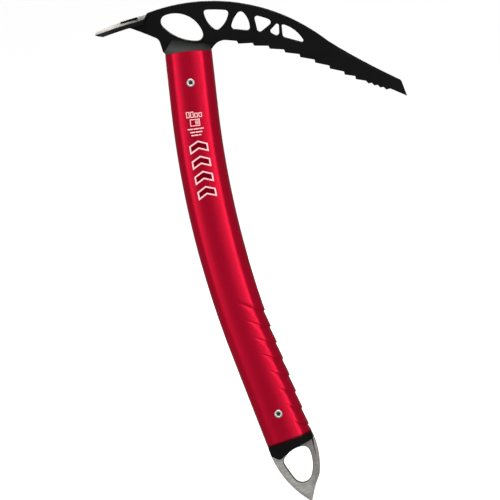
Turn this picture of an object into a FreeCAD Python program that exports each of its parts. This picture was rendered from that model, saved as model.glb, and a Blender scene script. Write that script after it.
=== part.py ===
import FreeCAD, Part
import Sketcher
import math
import os

from FreeCAD import Matrix, Placement, Rotation, Vector

# A short ice axe: a toothed steel head plate with a welded adze, a bent oval tube for a shaft,
# and a steel spike, each plate held in the tube by a collar, two packers and a tubular rivet.
#
# The origin is the centre of the carabiner eye in the head. +X points along the pick, the adze
# is towards -X, +Z is up and the plates lie in the XZ plane. Lengths are in millimetres and
# angles in degrees.

SIZES = {
    # Plates and the fits round them
    "plate_thickness": 4.0,
    "slot_clearance": 0.1,
    # Shaft tube: an oval of two nose arcs and two crowned faces
    "shaft_depth": 32.1,
    "shaft_thickness": 20.0,
    "shaft_nose_radius": 9.0,
    "shaft_wall": 1.7,
    "shaft_bend_radius": 650.0,
    "shaft_bend_x": -5.85,
    "shaft_bend_z": -119.0,
    "shaft_lean_top": 5.65,
    "shaft_lean_bottom": 9.3,
    "shaft_top_z": -16.1,
    "shaft_bottom_z": -291.6,
    "rim_arch_radius": 75.0,
    # Grip steps on the front edge
    "grip_count": 8,
    "grip_pitch": 12.0,
    "grip_first_height": 5.4,
    "grip_slant": 38.0,
    "grip_reach_top": 17.0,
    "grip_reach_bottom": 8.6,
    "grip_front_depth": 0.9,
    "grip_side_depth": 0.35,
    # Pick: the ground back, the ground point and the teeth
    "pick_bevel_width": 1.5,
    "pick_bevel_depth": 0.8,
    "point_ground_length": 14.5,
    "point_half_thickness": 0.75,
    "tooth_count": 8,
    "tooth_pitch": 10.8,
    "tooth_rise": 2.15,
    "last_tooth_pitch": 8.2,
    "small_tooth_count": 4,
    "small_tooth_pitch": 4.22,
    "small_tooth_rise": 2.6,
    # Tangs, packers and collar spigots
    "head_tang_half_width": 12.0,
    "head_tang_length": 36.0,
    "spike_tang_half_width": 11.0,
    "spike_tang_length": 34.0,
    "tang_corner_radius": 5.0,
    "spigot_length": 8.0,
    "spigot_overlap": 0.5,
    "packer_length": 26.0,
    "fit_clearance": 0.1,
    # Longer than anything that a cut has to pass through
    "through_length": 400.0,
    # Rivets
    "rivet_bore_radius": 1.3,
    "rivet_shank_radius": 2.0,
    "rivet_head_radius": 3.05,
    "rivet_head_height": 0.85,
    "rivet_hole_radius": 2.05,
    "head_rivet_depth": 21.8,
    "spike_rivet_height": 20.0,
    # Adze
    "adze_thickness": 2.9,
    "adze_root_half_width": 15.0,
    "adze_edge_half_width": 22.0,
    "adze_camber_radius": 300.0,
    "adze_bevel_length": 4.8,
    "adze_edge_land": 0.4,
    "weld_radius": 1.7,
}

doc = FreeCAD.newDocument("ice_axe")
sheet = doc.addObject("Spreadsheet::Sheet", "Sizes")
for row, (alias, value) in enumerate(SIZES.items(), start=1):
    sheet.set("A%d" % row, alias)
    sheet.set("B%d" % row, str(value))
    sheet.setAlias("B%d" % row, alias)
doc.recompute()


def size(alias):
    """A driving dimension, read back from the sheet."""
    return float(sheet.get(alias))


# --- Outlines: a belt round pins -----------------------------------------------------------


def belt(pins):
    """Lines and arcs of a belt pulled round pins, anticlockwise.

    A pin is (x, y, radius, side). The radius is the corner's: 0 is a sharp corner, and a
    negative radius is a hollow corner whose pin stands outside the belt. The side is the
    radius of the run to the next pin: 0 is straight, positive swells outward, negative is
    hollow.
    """
    runs = [run_between(pin, pins[(i + 1) % len(pins)]) for i, pin in enumerate(pins)]
    edges = []
    for i, pin in enumerate(pins):
        arrive = runs[i - 1]["end"]
        leave = runs[i]["start"]
        if abs(pin[2]) > 0 and (leave - arrive).Length > 1e-4:
            edges.append(arc(Vector(pin[0], pin[1], 0), arrive, leave, pin[2] > 0))
        if runs[i]["centre"] is None:
            edges.append((Part.LineSegment(leave, runs[i]["end"]), False))
        else:
            edges.append(arc(runs[i]["centre"], leave, runs[i]["end"], pin[3] > 0))
    return edges


def run_between(pin, following):
    """The straight or curved run that touches two pins on the outside of the belt."""
    here = Vector(pin[0], pin[1], 0)
    there = Vector(following[0], following[1], 0)
    gap = (there - here).Length
    ahead = (there - here) * (1 / gap)
    outward = Vector(ahead.y, -ahead.x, 0)
    if pin[3] == 0:
        lift = (pin[2] - following[2]) / gap
        touch = outward * math.sqrt(1 - lift * lift) + ahead * lift
        return {"start": here + touch * pin[2], "end": there + touch * following[2], "centre": None}
    reach_here = pin[3] - pin[2]
    reach_there = pin[3] - following[2]
    along = (gap * gap + reach_here * reach_here - reach_there * reach_there) / (2 * gap)
    inward = math.copysign(math.sqrt(reach_here * reach_here - along * along), pin[3])
    centre = here + ahead * along - outward * inward
    start = centre + (here - centre) * (pin[3] / reach_here)
    end = centre + (there - centre) * (pin[3] / reach_there)
    return {"start": start, "end": end, "centre": centre}


def arc(centre, start, end, anticlockwise):
    """An arc edge, and whether it runs backwards along the belt."""
    radius = (start - centre).Length
    first = math.atan2(start.y - centre.y, start.x - centre.x)
    last = math.atan2(end.y - centre.y, end.x - centre.x)
    if not anticlockwise:
        first, last = last, first
    if last < first:
        last += 2 * math.pi
    circle = Part.Circle(centre, Vector(0, 0, 1), radius)
    return (Part.ArcOfCircle(circle, first, last), not anticlockwise)


def oval(depth, thickness, nose_radius):
    """The shaft's kind of oval: two nose arcs joined by two crowned faces."""
    nose = depth / 2 - nose_radius
    half = thickness / 2
    crown = (nose * nose + half * half - nose_radius * nose_radius) / (2 * (half - nose_radius))
    return belt([(nose, 0, nose_radius, crown), (-nose, 0, nose_radius, crown)])


def sag(radius, reach):
    """How far an arc has fallen from its top, this far to the side of it."""
    return radius - math.sqrt(radius**2 - reach**2)


def rectangle(x_low, y_low, x_high, y_high):
    corners = [(x_high, y_low), (x_high, y_high), (x_low, y_high), (x_low, y_low)]
    return belt([(*corner, 0, 0) for corner in corners])


# --- Document helpers ----------------------------------------------------------------------


def new_body(label):
    body = doc.addObject("PartDesign::Body", label)
    body.Label = label
    return body


def new_sketch(body, name, role, offset=None):
    """A sketch on one of the body's own origin planes, moved by an optional offset."""
    sketch = body.newObject("Sketcher::SketchObject", name)
    plane = [item for item in body.Origin.OriginFeatures if item.Role == role][0]
    sketch.AttachmentSupport = [(plane, "")]
    sketch.MapMode = "FlatFace"
    if offset is not None:
        sketch.AttachmentOffset = offset
    return sketch


def draw(sketch, *loops):
    """Add closed loops to a sketch, each corner held by a coincident constraint."""
    for loop in loops:
        first = sketch.GeometryCount
        for edge, _ in loop:
            sketch.addGeometry(edge, False)
        for i, (_, backwards) in enumerate(loop):
            following = (i + 1) % len(loop)
            end = 1 if backwards else 2
            start = 2 if loop[following][1] else 1
            sketch.addConstraint(
                Sketcher.Constraint("Coincident", first + i, end, first + following, start)
            )


def draw_circle(sketch, x, y, radius_alias):
    """A circle whose radius is bound to the sheet."""
    index = sketch.addGeometry(Part.Circle(Vector(x, y, 0), Vector(0, 0, 1), size(radius_alias)), False)
    named = sketch.addConstraint(Sketcher.Constraint("Radius", index, size(radius_alias)))
    sketch.setExpression("Constraints[%d]" % named, "Sizes." + radius_alias)


def extrude(body, kind, name, sketch, length, side="Symmetric", backwards=False):
    """A Pad or Pocket whose length is an expression on the sheet."""
    feature = body.newObject("PartDesign::" + kind, name)
    feature.Profile = sketch
    feature.SideType = side
    feature.Reversed = backwards
    feature.setExpression("Length", length)
    sketch.Visibility = False
    return feature


def edge_names(shape, wanted):
    """The names, such as Edge7, of the edges that a test picks out."""
    return ["Edge%d" % number for number, edge in enumerate(shape.Edges, start=1) if wanted(edge)]


def has_radius(edge, radius):
    return abs(getattr(edge.Curve, "Radius", 0) - radius) < 1e-3


def bevel(body, name, base, edges, width, depth):
    """Grind the named edges off: width is taken along the plate's face and depth into it."""
    feature = body.newObject("PartDesign::Chamfer", name)
    feature.Base = (base, edges)
    feature.ChamferType = "Two distances"
    feature.setExpression("Size", depth)
    feature.setExpression("Size2", width)
    doc.recompute()
    assert feature.Shape.isValid() and feature.Shape.Volume < base.Shape.Volume
    return feature


class Frame:
    """A place on the shaft's centre line: across is towards the front, up is along the axis."""

    def __init__(self, x, z, tilt):
        self.origin = Vector(x, 0, z)
        self.tilt = tilt
        turn = Rotation(Vector(0, 1, 0), tilt)
        self.across = turn.multVec(Vector(1, 0, 0))
        self.up = turn.multVec(Vector(0, 0, 1))

    def point(self, across, up):
        return self.origin + self.across * across + self.up * up

    def flat(self, across, up):
        """The same point as the (x, z) pair that outlines use."""
        place = self.point(across, up)
        return (place.x, place.z)

    def section(self, up):
        """Where a sketch of the shaft's cross-section goes, this far up the axis."""
        return Placement(self.point(0, up), Rotation(Vector(0, 1, 0), self.tilt))


def bend_point(lean):
    """The end of the shaft's bend where it has turned by this many degrees, upward positive."""
    angle = math.radians(lean)
    radius = size("shaft_bend_radius")
    x = size("shaft_bend_x") + radius * (1 - math.cos(angle))
    return Vector(x, 0, size("shaft_bend_z") + radius * math.sin(angle))


def straight_end(lean, z):
    """A frame on the straight run beyond the bend, at height z."""
    start = bend_point(lean)
    return Frame(start.x + (z - start.z) * math.tan(math.radians(lean)), z, lean)


head = straight_end(size("shaft_lean_top"), size("shaft_top_z"))
foot = straight_end(-size("shaft_lean_bottom"), size("shaft_bottom_z"))

plate = "Sizes.plate_thickness"
slot_width = "Sizes.plate_thickness + 2 * Sizes.slot_clearance"
through = "Sizes.through_length"
half_depth = size("shaft_depth") / 2
half_thickness = size("shaft_thickness") / 2
shoulder = -1.25

head_rivet_at = head.flat(0, -size("head_rivet_depth"))
spike_rivet_at = foot.flat(0, size("spike_rivet_height"))


# --- Head plate ----------------------------------------------------------------------------

TOOTH_LINE_START = Vector(35.65, -19.0, 0)
TOOTH_LINE_HEADING = -17.4
TOOTH_LINE_RADIUS = 190.0
TOOTH_LINE_STRAIGHT = -33.8
TOOTH_STEP_ANGLE = 126.0
SMALL_TEETH_HEADING = -30.8
SMALL_TOOTH_STEP_ANGLE = 154.0
SMALL_TEETH_START = 9.1
PICK_POINT = (140.6, -77.0)
PICK_BACK_RADIUS = 480.0

EYE = [(-8.3, 5.2, 4.9, 31.0), (8.9, -7.0, 4.6, 19.6)]
EYE_LOWER_CENTRE = run_between(EYE[0], EYE[1])["centre"]
LIGHTENING_HOLES = [
    [(31.0, 3.2, 2.2, 80.0), (18.9, 6.0, 2.1, 17.0), (23.6, -4.1, 2.8, 18.0)],
    [(41.1, -0.4, 2.7, 22.0), (35.5, -6.7, 2.2, 0), (43.5, -9.2, 2.1, 15.0)],
    [(58.0, -8.6, 2.2, 40.0), (51.8, -4.9, 2.0, 0), (51.9, -12.2, 1.9, 0)],
    [(64.0, -12.1, 1.2, 0), (60.4, -15.4, 1.8, 0), (62.3, -16.6, 2.1, 60.0)],
    [(68.1, -13.6, 1.3, 0), (68.3, -19.4, 2.1, 0), (78.2, -25.4, 1.2, 23.0)],
]


def heading(degrees):
    return Vector(math.cos(math.radians(degrees)), math.sin(math.radians(degrees)), 0)


def tooth_line(distance):
    """The point and heading this far along the line that the tooth tips lie on."""
    turned = math.degrees(distance / TOOTH_LINE_RADIUS)
    full_turn = TOOTH_LINE_HEADING - TOOTH_LINE_STRAIGHT
    bent = min(turned, full_turn)
    left_side = heading(TOOTH_LINE_HEADING + 90)
    centre = TOOTH_LINE_START - left_side * TOOTH_LINE_RADIUS
    now = TOOTH_LINE_HEADING - bent
    point = centre + heading(now + 90) * TOOTH_LINE_RADIUS
    spare = distance - math.radians(bent) * TOOTH_LINE_RADIUS
    return point + heading(now) * spare, now


def pick_teeth():
    """Root and tip of each tooth, from the shaft towards the point of the pick."""
    points = []
    places = [i * size("tooth_pitch") for i in range(int(size("tooth_count")))]
    places.append(places[-1] + size("last_tooth_pitch"))
    for place in places:
        tip, direction = tooth_line(place)
        root = tip + heading(direction + TOOTH_STEP_ANGLE) * size("tooth_rise")
        points += [root, tip]
    along = heading(SMALL_TEETH_HEADING)
    step = heading(SMALL_TEETH_HEADING + SMALL_TOOTH_STEP_ANGLE) * size("small_tooth_rise")
    small_start = points[-1] + along * SMALL_TEETH_START
    for i in range(int(size("small_tooth_count"))):
        tip = small_start + along * (i * size("small_tooth_pitch"))
        points += [tip + step, tip]
    return [(point.x, point.y, 0, 0) for point in points]


def head_outline():
    """The whole plate: pick, top edge, tab, gusset, heel, tang, neck and teeth."""
    half_tang = size("head_tang_half_width")
    corner = size("tang_corner_radius")
    tang_pin = corner - size("head_tang_length")
    pins = [
        (*PICK_POINT, 0, 0),
        (135.7, -67.6, 3.4, -PICK_BACK_RADIUS),
        (95.7, -29.7, 0, 137.0),
        (68.2, -5.2, 0, 125.0),
        (-20.0, 11.3, 2.6, 0),
        (-22.6, 8.8, 0, 0),
        (-28.2, 8.35, 0, 0),
        (-28.6, 12.05, 0.4, 0),
        (-39.8, 10.95, 0.4, 0),
        (-40.0, 8.4, 0, 0),
        (-37.2, 7.8, 0, -220.0),
        (-21.3, -8.0, -4.85, 0),
        (-14.8, -14.0, 1.0, 0),
        (*head.flat(0.6 - half_depth, shoulder), 0, 0),
        (*head.flat(-half_tang, shoulder), 0, 0),
        (*head.flat(corner - half_tang, tang_pin), corner, 0),
        (*head.flat(half_tang - corner, tang_pin), corner, 0),
        (*head.flat(half_tang, shoulder), 0, 0),
        (*head.flat(half_depth - 0.1, shoulder - 0.1), 0, 0),
        (25.6, -24.3, -9.7, 0),
    ]
    return belt(pins + pick_teeth() + [(130.5, -69.8, 0, 0)])


def make_head_plate():
    body = new_body("head_plate")
    sketch = new_sketch(body, "plate_outline", "XZ_Plane")
    draw(sketch, head_outline(), belt(EYE), *[belt(pins) for pins in LIGHTENING_HOLES])
    draw_circle(sketch, *head_rivet_at, "rivet_hole_radius")
    blank = extrude(body, "Pad", "plate_blank", sketch, plate)
    doc.recompute()

    back = edge_names(blank.Shape, lambda edge: has_radius(edge, PICK_BACK_RADIUS))
    ground = bevel(body, "ground_back", blank, back, "Sizes.pick_bevel_width", "Sizes.pick_bevel_depth")

    half = size("plate_thickness") / 2
    start = PICK_POINT[0] - size("point_ground_length")
    end = PICK_POINT[0] + 1
    facets = new_sketch(body, "point_facets", "XY_Plane")
    for side in (1, -1):
        wedge = [(start, half, 0, 0), (end, size("point_half_thickness"), 0, 0), (end, half + 1, 0, 0)]
        wedge = [(x, side * y, radius, run) for x, y, radius, run in wedge]
        draw(facets, belt(wedge[::side]))
    pointed = extrude(body, "Pocket", "ground_point", facets, through)
    doc.recompute()
    assert pointed.Shape.Volume < ground.Shape.Volume - 1
    return body


# --- Adze and its welds --------------------------------------------------------------------

ADZE_ROOT = (-22.7, 11.8)
ADZE_EDGE = (-57.0, 9.1)
ADZE_LENGTHWISE_RADIUS = 600.0
ADZE_SWEEP = 12.0
ADZE_SIDE_HOLLOW = 200.0
ADZE_ROOT_CORNER = 2.5
ADZE_EDGE_CORNER = 2.0
ADZE_SLOT = (-40.3, -28.1)
WELD_START = -25.5
WELD_RIPPLES = 11
WELD_RIPPLE_PITCH = 1.25


def make_adze():
    """A plate bent to a long arc from root to edge and cambered across by turning it."""
    body = new_body("adze")
    thickness = size("adze_thickness")
    root = Vector(*ADZE_ROOT, 0)
    edge = Vector(*ADZE_EDGE, 0)
    back = (root - edge).normalize()
    down = Vector(back.y, -back.x, 0)
    root_under = root + down * thickness
    bevel_start = edge + back * size("adze_bevel_length") + down * thickness
    land = edge + down * size("adze_edge_land")
    profile = [
        (root.x, root.y, 0, ADZE_LENGTHWISE_RADIUS),
        (edge.x, edge.y, 0, 0),
        (land.x, land.y, 0, 0),
        (bevel_start.x, bevel_start.y, 0, -ADZE_LENGTHWISE_RADIUS),
        (root_under.x, root_under.y, 0, 0),
    ]
    sketch = new_sketch(body, "adze_profile", "XZ_Plane")
    draw(sketch, belt(profile))
    axis_z = root.y - size("adze_camber_radius")
    axis = Part.LineSegment(Vector(edge.x, axis_z, 0), Vector(root.x, axis_z, 0))
    sketch.addGeometry(axis, True)
    curved = body.newObject("PartDesign::Revolution", "cambered_plate")
    curved.Profile = sketch
    curved.ReferenceAxis = (sketch, ["Axis0"])
    curved.Midplane = True
    curved.Angle = ADZE_SWEEP
    sketch.Visibility = False
    doc.recompute()

    root_pin = (root.x - ADZE_ROOT_CORNER, size("adze_root_half_width") - ADZE_ROOT_CORNER)
    edge_pin = (edge.x + ADZE_EDGE_CORNER, size("adze_edge_half_width") - ADZE_EDGE_CORNER)
    plan = [
        (edge_pin[0], -edge_pin[1], ADZE_EDGE_CORNER, -ADZE_SIDE_HOLLOW),
        (root_pin[0], -root_pin[1], ADZE_ROOT_CORNER, 0),
        (*root_pin, ADZE_ROOT_CORNER, -ADZE_SIDE_HOLLOW),
        (*edge_pin, ADZE_EDGE_CORNER, 0),
    ]
    reach = 2 * size("adze_edge_half_width")
    waste = new_sketch(body, "adze_plan", "XY_Plane")
    draw(waste, rectangle(edge.x - reach, -reach, root.x + reach, reach), belt(plan))
    trimmed = extrude(body, "Pocket", "adze_trim", waste, through)
    doc.recompute()
    assert trimmed.Shape.Volume < curved.Shape.Volume - 1

    slot = new_sketch(body, "tab_slot", "XY_Plane")
    half_slot = size("plate_thickness") / 2 + size("slot_clearance")
    draw(slot, rectangle(ADZE_SLOT[0], -half_slot, ADZE_SLOT[1], half_slot))
    slotted = extrude(body, "Pocket", "adze_slot", slot, through)
    doc.recompute()
    assert slotted.Shape.Volume < trimmed.Shape.Volume - 1
    return body


def adze_underside(x):
    """The height of the adze's underside on the middle plane."""
    slope = (ADZE_ROOT[1] - ADZE_EDGE[1]) / (ADZE_ROOT[0] - ADZE_EDGE[0])
    return ADZE_ROOT[1] + (x - ADZE_ROOT[0]) * slope - size("adze_thickness")


def make_weld(label, side, neighbours):
    """A rippled fillet bead in the corner between the gusset and the underside of the adze."""
    feature = doc.addObject("Part::Feature", label)
    feature.Label = label
    face = side * size("plate_thickness") / 2
    balls = []
    for i in range(WELD_RIPPLES):
        x = WELD_START - i * WELD_RIPPLE_PITCH
        balls.append(Part.makeSphere(size("weld_radius"), Vector(x, face, adze_underside(x))))
    bead = balls[0].fuse(balls[1:])
    for neighbour in neighbours:
        bead = bead.cut(neighbour)
    below = [solid for solid in bead.Solids if solid.CenterOfMass.y * side > abs(face)]
    feature.Shape = min(below, key=lambda solid: solid.CenterOfMass.z)
    return feature


# --- Shaft ---------------------------------------------------------------------------------

RIM_ALLOWANCE = 3.0
GRIP_END_DEPTH = 0.06
GRIP_LENGTH_SHARE = 0.98
GRIP_TAPER_START = 2.0
GRIP_INNER_END = 1.5


def make_shaft_blank():
    """The bent oval tube before its grip steps are pressed."""
    body = new_body("shaft_blank")
    top = head.flat(0, RIM_ALLOWANCE)
    path = new_sketch(body, "centre_line", "XZ_Plane")
    upper = bend_point(size("shaft_lean_top"))
    lower = bend_point(-size("shaft_lean_bottom"))
    centre = Vector(size("shaft_bend_x") + size("shaft_bend_radius"), size("shaft_bend_z"), 0)
    bend_top = Vector(upper.x, upper.z, 0)
    bend_bottom = Vector(lower.x, lower.z, 0)
    path.addGeometry(Part.LineSegment(Vector(*top, 0), bend_top), False)
    path.addGeometry(arc(centre, bend_top, bend_bottom, True)[0], False)
    path.addGeometry(Part.LineSegment(bend_bottom, Vector(*foot.flat(0, 0), 0)), False)
    path.addConstraint(Sketcher.Constraint("Coincident", 0, 2, 1, 1))
    path.addConstraint(Sketcher.Constraint("Coincident", 1, 2, 2, 1))

    outside = new_sketch(body, "outer_section", "XY_Plane", head.section(RIM_ALLOWANCE))
    draw(outside, oval(size("shaft_depth"), size("shaft_thickness"), size("shaft_nose_radius")))
    inside = new_sketch(body, "inner_section", "XY_Plane", head.section(RIM_ALLOWANCE))
    draw(inside, inner_oval(0))
    solid = body.newObject("PartDesign::AdditivePipe", "outer_form")
    solid.Profile = outside
    solid.Spine = path
    doc.recompute()
    bore = body.newObject("PartDesign::SubtractivePipe", "bore")
    bore.Profile = inside
    bore.Spine = path
    doc.recompute()
    assert bore.Shape.Volume < solid.Shape.Volume - 1

    rim = new_sketch(body, "arched_rim", "XZ_Plane")
    wide = half_depth + RIM_ALLOWANCE
    fall = sag(size("rim_arch_radius"), wide)
    corners = [head.flat(wide, 12), head.flat(-wide, 12), head.flat(-wide, -fall), head.flat(wide, -fall)]
    runs = [0, 0, -size("rim_arch_radius"), 0]
    draw(rim, belt([(*corner, 0, run) for corner, run in zip(corners, runs)]))
    arched = extrude(body, "Pocket", "rim_cut", rim, through)
    doc.recompute()
    assert arched.Shape.Volume < bore.Shape.Volume - 1

    holes = new_sketch(body, "rivet_holes", "XZ_Plane")
    draw_circle(holes, *head_rivet_at, "rivet_hole_radius")
    draw_circle(holes, *spike_rivet_at, "rivet_hole_radius")
    drilled = extrude(body, "Pocket", "rivet_drilling", holes, through)
    doc.recompute()
    assert drilled.Shape.Volume < arched.Shape.Volume - 1
    return body


def inner_oval(clearance):
    """The tube's bore, smaller all round by a clearance."""
    inset = size("shaft_wall") + clearance
    return oval(
        size("shaft_depth") - 2 * inset,
        size("shaft_thickness") - 2 * inset,
        size("shaft_nose_radius") - inset,
    )


def sheared_oval(place, front_inset, side_inset):
    """A slanting section of the tube, inset at the front nose and on the faces."""
    loop = oval(
        size("shaft_depth") - front_inset,
        size("shaft_thickness") - 2 * side_inset,
        size("shaft_nose_radius") - side_inset,
    )
    wire = Part.Wire(Part.__sortEdges__([edge.toShape() for edge, _ in loop]))
    shear = Matrix()
    shear.A31 = -math.tan(math.radians(size("grip_slant")))
    slanted = wire.transformGeometry(shear)
    slanted.translate(Vector(-front_inset / 2, 0, 0))
    slanted.Placement = place.multiply(slanted.Placement)
    return slanted


def grip_cutter(index, place):
    """What the press takes from the tube for one grip step.

    The step is deepest along its upper slanting line and dies away to nothing at the next one.
    Index 0 is the top step, the one that reaches furthest across the face.
    """
    count = int(size("grip_count"))
    pitch = size("grip_pitch")
    share = index / (count - 1)
    reach = size("grip_reach_top") * (1 - share) + size("grip_reach_bottom") * share
    slope = math.tan(math.radians(size("grip_slant")))
    below = place.multiply(Placement(Vector(0, 0, -pitch), Rotation()))
    upper = sheared_oval(place, size("grip_front_depth"), size("grip_side_depth"))
    lower = sheared_oval(below, GRIP_END_DEPTH, GRIP_END_DEPTH / 2)
    core = Part.makeLoft([upper, lower], True, True)

    # The step's area from the side: full length at the front edge, tapering to its inner end
    inner = half_depth - reach
    front = half_depth - GRIP_TAPER_START
    outer = half_depth + RIM_ALLOWANCE
    tail = GRIP_LENGTH_SHARE * pitch
    wide = size("shaft_thickness")
    corners = [
        Vector(inner, -wide, -inner * slope),
        Vector(outer, -wide, -outer * slope),
        Vector(outer, -wide, -outer * slope - tail),
        Vector(front, -wide, -front * slope - tail),
        Vector(inner + GRIP_INNER_END, -wide, -(inner + GRIP_INNER_END) * slope - tail / 3),
    ]
    region = Part.Face(Part.makePolygon(corners + corners[:1])).extrude(Vector(0, 2 * wide, 0))
    region.Placement = place.multiply(region.Placement)
    return region.cut(core)


def shaft_place(height):
    """The shaft's section this far above the bottom cut, measured along the centre line."""
    lower = bend_point(-size("shaft_lean_bottom"))
    straight = (foot.origin - lower).Length
    if height <= straight:
        return foot.section(height)
    lean = math.degrees((height - straight) / size("shaft_bend_radius")) - size("shaft_lean_bottom")
    point = bend_point(lean)
    return Placement(point, Rotation(Vector(0, 1, 0), lean))


def make_shaft():
    blank = make_shaft_blank()
    slope = math.tan(math.radians(size("grip_slant")))
    cutters = doc.addObject("Part::Feature", "grip_cutters")
    tools = []
    for index in range(int(size("grip_count"))):
        from_bottom = int(size("grip_count")) - 1 - index
        height = size("grip_first_height") + from_bottom * size("grip_pitch") + half_depth * slope
        tools.append(grip_cutter(index, shaft_place(height)))
    cutters.Shape = Part.makeCompound(tools)
    shaft = doc.addObject("Part::Cut", "shaft_tube")
    shaft.Label = "shaft_tube"
    shaft.Base = blank
    shaft.Tool = cutters
    doc.recompute()
    assert shaft.Shape.Volume < blank.Shape.Volume - 1
    return shaft


# --- Packers and rivets --------------------------------------------------------------------

PACKER_GAP = 0.5
RIVET_SEAT_GAP = 0.01
RIVET_CROWN_RADIUS = 2.5


def make_packer(label, frame, start, side, rivet_at):
    """Half of the bore's oval, from the tang's face out to the wall. Side +1 is towards +Y."""
    body = new_body(label)
    section = new_sketch(body, label + "_section", "XY_Plane", frame.section(start))
    draw(section, inner_oval(size("fit_clearance")))
    whole = extrude(body, "Pad", label + "_form", section, "Sizes.packer_length", side="One side")
    doc.recompute()
    waste = new_sketch(body, label + "_split", "XY_Plane", frame.section(start))
    face = side * (size("plate_thickness") / 2 + size("slot_clearance"))
    low, high = (-half_depth, face) if side > 0 else (face, half_depth)
    draw(waste, rectangle(-half_depth, low, half_depth, high))
    split = extrude(body, "Pocket", label + "_half", waste, through)
    doc.recompute()
    assert split.Shape.Volume < whole.Shape.Volume - 1
    hole = new_sketch(body, label + "_hole", "XZ_Plane")
    draw_circle(hole, *rivet_at, "rivet_hole_radius")
    drilled = extrude(body, "Pocket", label + "_drilling", hole, through)
    doc.recompute()
    assert drilled.Shape.Volume < split.Shape.Volume - 1
    return body


def make_rivet(label, place):
    """A tubular rivet along Y, its two rolled heads seated on the tube's faces."""
    body = new_body(label)
    bore = size("rivet_bore_radius")
    shank = size("rivet_shank_radius")
    brim = size("rivet_head_radius")
    roll = size("rivet_head_height") / 2
    seat = half_thickness + RIVET_SEAT_GAP
    outer = brim - roll
    inner = bore + roll
    offset = Placement(Vector(place[0], 0, place[1]), Rotation())
    section = new_sketch(body, label + "_profile", "XY_Plane", offset)
    profile = [
        (shank, -seat, 0, 0),
        (shank, seat, 0, 0),
        (outer, seat + roll, roll, RIVET_CROWN_RADIUS),
        (inner, seat + roll, roll, 0),
        (inner, -seat - roll, roll, RIVET_CROWN_RADIUS),
        (outer, -seat - roll, roll, 0),
    ]
    draw(section, belt(profile))
    turned = body.newObject("PartDesign::Revolution", label + "_turned")
    turned.Profile = section
    turned.ReferenceAxis = (section, ["V_Axis"])
    turned.Angle = 360.0
    section.Visibility = False
    doc.recompute()
    return body


# --- Collars -------------------------------------------------------------------------------

# Sections of the cheeks: distance from the tube's end, depth, thickness and nose radius
HEAD_COLLAR_RINGS = [
    (-2.6, 32.1, 20.0, 9.0),
    (0.2, 32.1, 20.0, 9.0),
    (3.6, 33.4, 13.2, 5.8),
    (12.0, 36.0, 7.0, 3.0),
]
SPIKE_COLLAR_RINGS = [
    (0.0, 32.1, 20.0, 9.0),
    (4.0, 32.6, 17.6, 7.8),
    (14.0, 33.0, 10.0, 4.4),
]
JOINT_GAP = 0.02
SLIT_REACH = 24.0


def make_collar(label, frame, direction, sections, outline, slot):
    """A moulded collar: a spigot in the tube and two cheeks that close in on the plate.

    Direction is +1 where the cheeks rise above the tube and -1 where they hang below it. Each
    section is (distance from the tube's end, depth, thickness, nose radius).
    """
    body = new_body(label)
    rings = []
    for distance, depth, thickness, nose_radius in sections:
        name = "%s_ring_%d" % (label, len(rings))
        ring = new_sketch(body, name, "XY_Plane", frame.section(direction * distance))
        draw(ring, oval(depth, thickness, nose_radius))
        rings.append(ring)
    shoulders = body.newObject("PartDesign::AdditiveLoft", label + "_shoulders")
    shoulders.Profile = rings[0]
    shoulders.Sections = rings[1:]
    doc.recompute()

    waste = new_sketch(body, label + "_outline", "XZ_Plane")
    draw(waste, outline["frame"], outline["keep"])
    trimmed = extrude(body, "Pocket", label + "_trim", waste, through)
    doc.recompute()
    assert trimmed.Shape.Volume < shoulders.Shape.Volume - 1

    inside = frame.section(direction * size("spigot_overlap"))
    spigot_sketch = new_sketch(body, label + "_spigot_section", "XY_Plane", inside)
    draw(spigot_sketch, inner_oval(size("fit_clearance")))
    length = "Sizes.spigot_length + Sizes.spigot_overlap"
    spigot = extrude(body, "Pad", label + "_spigot", spigot_sketch, length, "One side", direction > 0)
    doc.recompute()
    assert spigot.Shape.Volume > trimmed.Shape.Volume + 1

    slit = new_sketch(body, label + "_slit", "XZ_Plane")
    draw(slit, slot)
    slotted = extrude(body, "Pocket", label + "_slot", slit, slot_width)
    doc.recompute()
    assert slotted.Shape.Volume < spigot.Shape.Volume - 1
    return body


def head_collar_parts():
    """What stays of the cheeks seen from the side, and the slit for the head plate."""
    arch = size("rim_arch_radius") + JOINT_GAP
    rim = JOINT_GAP - sag(arch, half_depth)
    spigot_end = -size("spigot_length") - 1
    keep = belt(
        [
            (*head.flat(half_depth, rim), 0, 0),
            (16.8, -15.5, 1.0, 0),
            (EYE_LOWER_CENTRE.x, EYE_LOWER_CENTRE.y, -31.7, 0),
            (-6.6, -7.8, 1.3, 0),
            (-14.8, -15.0, 0.5, 0),
            (*head.flat(-half_depth, rim), 0, -arch),
        ]
    )
    frame = rectangle(-40, -50, 40, 20)
    half_tang = size("head_tang_half_width") + size("slot_clearance")
    slit = belt(
        [
            (*head.flat(half_tang, spigot_end - 1), 0, 0),
            (*head.flat(half_tang, shoulder - 0.1), 0, 0),
            (*head.flat(SLIT_REACH, shoulder - 0.2), 0, 0),
            (*head.flat(SLIT_REACH, SLIT_REACH), 0, 0),
            (*head.flat(-SLIT_REACH, SLIT_REACH), 0, 0),
            (*head.flat(-SLIT_REACH, shoulder - 0.1), 0, 0),
            (*head.flat(-half_tang, shoulder - 0.1), 0, 0),
            (*head.flat(-half_tang, spigot_end - 1), 0, 0),
        ]
    )
    return {"frame": frame, "keep": keep}, slit


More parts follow.
